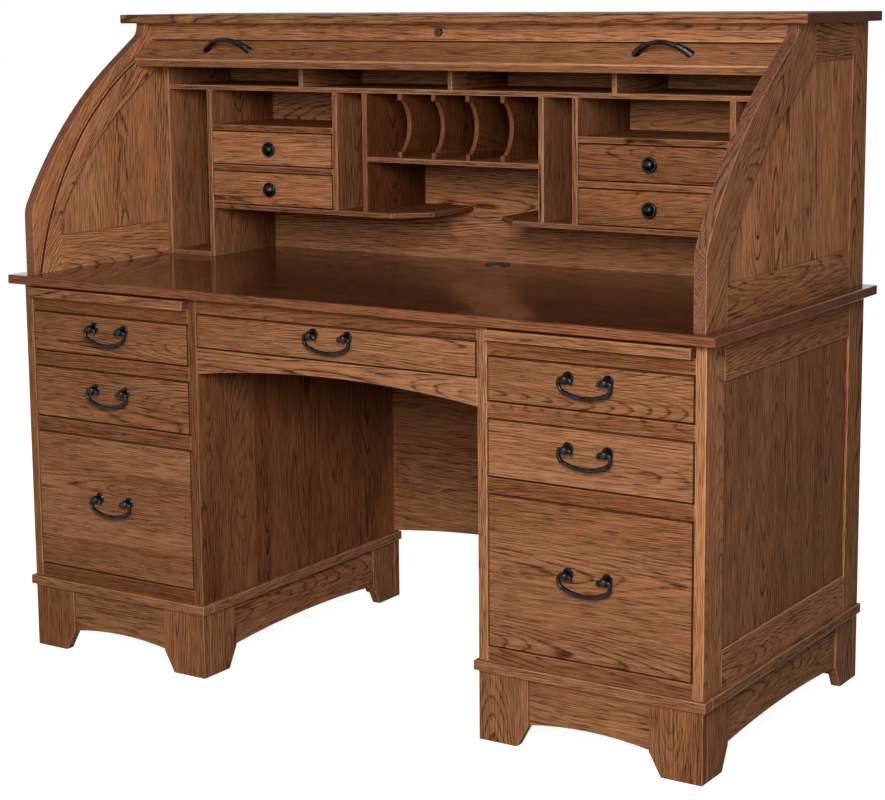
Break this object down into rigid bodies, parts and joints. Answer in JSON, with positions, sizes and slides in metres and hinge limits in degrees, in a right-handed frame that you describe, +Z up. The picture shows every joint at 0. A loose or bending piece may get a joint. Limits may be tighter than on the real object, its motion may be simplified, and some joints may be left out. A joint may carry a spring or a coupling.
{
  "type": "roll-top desk",
  "caption": "Oak pedestal roll-top desk with curved sides, a tambour lid, drawers with swinging bail pulls, pull-out writing boards and a pigeonhole unit.",
  "frame": {"origin": "on the floor, under the middle of the desk's bounding box", "axes": "+X to the right seen from the sitter's side, +Y to the back, +Z up; the front faces -Y"},
  "size_m": [1.545, 0.697, 1.268],
  "materials": {
    "oak": "satin stain",
    "dark_oak": "semi-gloss stain",
    "black_metal": "satin",
    "black_plastic": "matt",
    "canvas": "woven"
  },
  "bodies": {
    "desk": {"desk_top": "dark_oak", "wire_grommet": "black_plastic", "pedestal_outer_frames": "oak", "pedestal_outer_panels": "oak", "pedestal_inner_sides": "oak", "pedestal_front_rails": "oak", "drawer_runners": "oak", "pedestal_bottoms": "oak", "pedestal_backs": "oak", "base_mouldings": "oak", "bracket_feet": "oak", "base_aprons": "oak", "kneehole_rails": "oak", "modesty_panel": "oak", "case_side_frames": "oak", "case_side_panels": "oak", "top_cap": "oak", "fascia_rail": "oak", "case_back": "oak", "roll_lock": "black_metal", "pigeonhole_uprights": "oak", "pigeonhole_shelves": "oak", "letter_dividers": "oak", "pigeonhole_back": "oak"},
    "roll_top": {"lift_rail": "oak", "lift_handles": "black_metal", "tambour_slats": "oak", "tambour_canvas": "canvas"},
    "lock_plug": {"lock_plug": "black_metal"},
    "left_writing_board": {"left_writing_board": "oak"},
    "right_writing_board": {"right_writing_board": "oak"},
    "left_top_drawer": {"left_top_drawer": "oak", "left_top_pull_posts": "black_metal"},
    "left_top_bail": {"left_top_bail": "black_metal"},
    "left_middle_drawer": {"left_middle_drawer": "oak", "left_middle_pull_posts": "black_metal"},
    "left_middle_bail": {"left_middle_bail": "black_metal"},
    "left_file_drawer": {"left_file_drawer": "oak", "left_file_pull_posts": "black_metal"},
    "left_file_bail": {"left_file_bail": "black_metal"},
    "right_top_drawer": {"right_top_drawer": "oak", "right_top_pull_posts": "black_metal"},
    "right_top_bail": {"right_top_bail": "black_metal"},
    "right_middle_drawer": {"right_middle_drawer": "oak", "right_middle_pull_posts": "black_metal"},
    "right_middle_bail": {"right_middle_bail": "black_metal"},
    "right_file_drawer": {"right_file_drawer": "oak", "right_file_pull_posts": "black_metal"},
    "right_file_bail": {"right_file_bail": "black_metal"},
    "centre_drawer": {"centre_drawer": "oak", "centre_pull_posts": "black_metal"},
    "centre_bail": {"centre_bail": "black_metal"},
    "left_upper_small_drawer": {"left_upper_small_drawer": "oak", "left_upper_small_drawer_knob": "black_metal"},
    "left_lower_small_drawer": {"left_lower_small_drawer": "oak", "left_lower_small_drawer_knob": "black_metal"},
    "right_upper_small_drawer": {"right_upper_small_drawer": "oak", "right_upper_small_drawer_knob": "black_metal"},
    "right_lower_small_drawer": {"right_lower_small_drawer": "oak", "right_lower_small_drawer_knob": "black_metal"}
  },
  "joints": [
    {"name": "left_top_drawer_slide", "type": "slide", "parent": "desk", "child": "left_top_drawer", "axis": [0, -1, 0], "range_m": [0, 0.42]},
    {"name": "left_middle_drawer_slide", "type": "slide", "parent": "desk", "child": "left_middle_drawer", "axis": [0, -1, 0], "range_m": [0, 0.42]},
    {"name": "left_file_drawer_slide", "type": "slide", "parent": "desk", "child": "left_file_drawer", "axis": [0, -1, 0], "range_m": [0, 0.42]},
    {"name": "right_top_drawer_slide", "type": "slide", "parent": "desk", "child": "right_top_drawer", "axis": [0, -1, 0], "range_m": [0, 0.42]},
    {"name": "right_middle_drawer_slide", "type": "slide", "parent": "desk", "child": "right_middle_drawer", "axis": [0, -1, 0], "range_m": [0, 0.42]},
    {"name": "right_file_drawer_slide", "type": "slide", "parent": "desk", "child": "right_file_drawer", "axis": [0, -1, 0], "range_m": [0, 0.42]},
    {"name": "centre_drawer_slide", "type": "slide", "parent": "desk", "child": "centre_drawer", "axis": [0, -1, 0], "range_m": [0, 0.33]},
    {"name": "left_top_bail_swing", "type": "hinge", "parent": "left_top_drawer", "child": "left_top_bail", "pos_m": [-0.52975, -0.3395, 0.66725], "axis": [-1, 0, 0], "range_deg": [0, 80]},
    {"name": "left_middle_bail_swing", "type": "hinge", "parent": "left_middle_drawer", "child": "left_middle_bail", "pos_m": [-0.52975, -0.3395, 0.546], "axis": [-1, 0, 0], "range_deg": [0, 80]},
    {"name": "left_file_bail_swing", "type": "hinge", "parent": "left_file_drawer", "child": "left_file_bail", "pos_m": [-0.52975, -0.3395, 0.32725], "axis": [-1, 0, 0], "range_deg": [0, 80]},
    {"name": "right_top_bail_swing", "type": "hinge", "parent": "right_top_drawer", "child": "right_top_bail", "pos_m": [0.52975, -0.3395, 0.66725], "axis": [-1, 0, 0], "range_deg": [0, 80]},
    {"name": "right_middle_bail_swing", "type": "hinge", "parent": "right_middle_drawer", "child": "right_middle_bail", "pos_m": [0.52975, -0.3395, 0.546], "axis": [-1, 0, 0], "range_deg": [0, 80]},
    {"name": "right_file_bail_swing", "type": "hinge", "parent": "right_file_drawer", "child": "right_file_bail", "pos_m": [0.52975, -0.3395, 0.32725], "axis": [-1, 0, 0], "range_deg": [0, 80]},
    {"name": "centre_bail_swing", "type": "hinge", "parent": "centre_drawer", "child": "centre_bail", "pos_m": [0, -0.3395, 0.698], "axis": [-1, 0, 0], "range_deg": [0, 80]},
    {"name": "left_writing_board_slide", "type": "slide", "parent": "desk", "child": "left_writing_board", "axis": [0, -1, 0], "range_m": [0, 0.3]},
    {"name": "right_writing_board_slide", "type": "slide", "parent": "desk", "child": "right_writing_board", "axis": [0, -1, 0], "range_m": [0, 0.3]},
    {"name": "left_upper_small_drawer_slide", "type": "slide", "parent": "desk", "child": "left_upper_small_drawer", "axis": [0, -1, 0], "range_m": [0, 0.15]},
    {"name": "left_lower_small_drawer_slide", "type": "slide", "parent": "desk", "child": "left_lower_small_drawer", "axis": [0, -1, 0], "range_m": [0, 0.15]},
    {"name": "right_upper_small_drawer_slide", "type": "slide", "parent": "desk", "child": "right_upper_small_drawer", "axis": [0, -1, 0], "range_m": [0, 0.15]},
    {"name": "right_lower_small_drawer_slide", "type": "slide", "parent": "desk", "child": "right_lower_small_drawer", "axis": [0, -1, 0], "range_m": [0, 0.15]},
    {"name": "roll_top_close", "type": "hinge", "parent": "desk", "child": "roll_top", "pos_m": [0, 0.28797, 0.64115], "axis": [1, 0, 0], "range_deg": [0, 49], "deforming": ["tambour_slats", "tambour_canvas"]},
    {"name": "lock_turn", "type": "hinge", "parent": "desk", "child": "lock_plug", "pos_m": [0, 0.04443, 1.2335], "axis": [0, 1, 0], "range_deg": [0, 90]}
  ]
}
